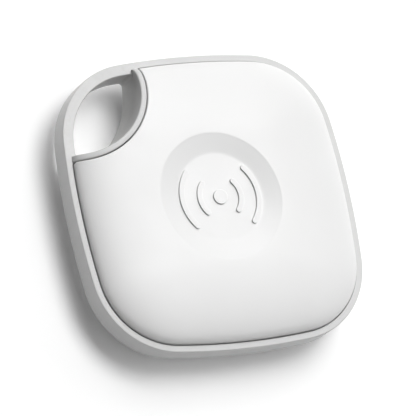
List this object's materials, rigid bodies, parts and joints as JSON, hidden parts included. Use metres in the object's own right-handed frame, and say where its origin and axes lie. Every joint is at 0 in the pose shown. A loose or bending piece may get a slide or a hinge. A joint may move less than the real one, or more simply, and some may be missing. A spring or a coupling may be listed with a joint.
{
  "type": "bluetooth tracker tag",
  "caption": "Flat square tracking tag with round corners, a key loop through one corner, and a round sunk press button in the middle of its pillow-shaped cover.",
  "frame": {"origin": "middle of the flat back, which the tag lies on", "axes": "+Z out of the front face, +Y towards the top side, with the key loop in the -X, +Y corner"},
  "size_m": [0.0378, 0.0378, 0.0072],
  "materials": {
    "case_plastic": "satin moulded",
    "cover_plastic": "fine satin moulded",
    "seal_rubber": "matte",
    "board_laminate": "solder mask",
    "black_epoxy": "moulded epoxy",
    "ceramic": "fired ceramic",
    "capacitor_ceramic": "fired ceramic",
    "steel": "nickel plated",
    "brass": "rolled sheet",
    "nylon": "moulded",
    "foam": "closed-cell foam",
    "film": "clear amber film"
  },
  "bodies": {
    "housing": {"rear_case": "case_plastic", "front_cover": "cover_plastic", "seal_gasket": "seal_rubber", "circuit_board": "board_laminate", "radio_chip": "black_epoxy", "radio_crystal": "steel", "clock_crystal": "ceramic", "chip_antenna": "ceramic", "buzzer_inductor": "black_epoxy", "supply_capacitor": "capacitor_ceramic", "capacitor_1": "capacitor_ceramic", "capacitor_2": "capacitor_ceramic", "resistor_3": "black_epoxy", "capacitor_4": "capacitor_ceramic", "capacitor_5": "capacitor_ceramic", "resistor_6": "black_epoxy", "switch_base": "nylon", "switch_dome": "steel", "switch_frame": "steel", "cell_can": "steel", "cell_gasket": "nylon", "cell_cap": "steel", "cell_pad": "foam", "insulating_film": "film", "negative_tab": "steel", "positive_tab": "steel", "buzzer_foam_ring": "foam", "buzzer_plate": "brass", "buzzer_ceramic": "ceramic", "ceramic_spring": "brass", "plate_spring": "brass"},
    "button": {"press_dish": "cover_plastic"},
    "plunger": {"switch_plunger": "nylon"}
  },
  "joints": [
    {"name": "button_press", "type": "slide", "parent": "housing", "child": "button", "axis": [0, 0, -1], "range_m": [0, 0.0002], "stiffness_N_per_m": 6000, "springref_m": -0.0001},
    {"name": "switch_stroke", "type": "slide", "parent": "housing", "child": "plunger", "axis": [0, 0, -1], "range_m": [0, 0.0002], "deforming": ["switch_dome"]}
  ],
  "couplings": [
    {"joint": "switch_stroke", "follows": "button_press", "ratio": 1}
  ]
}
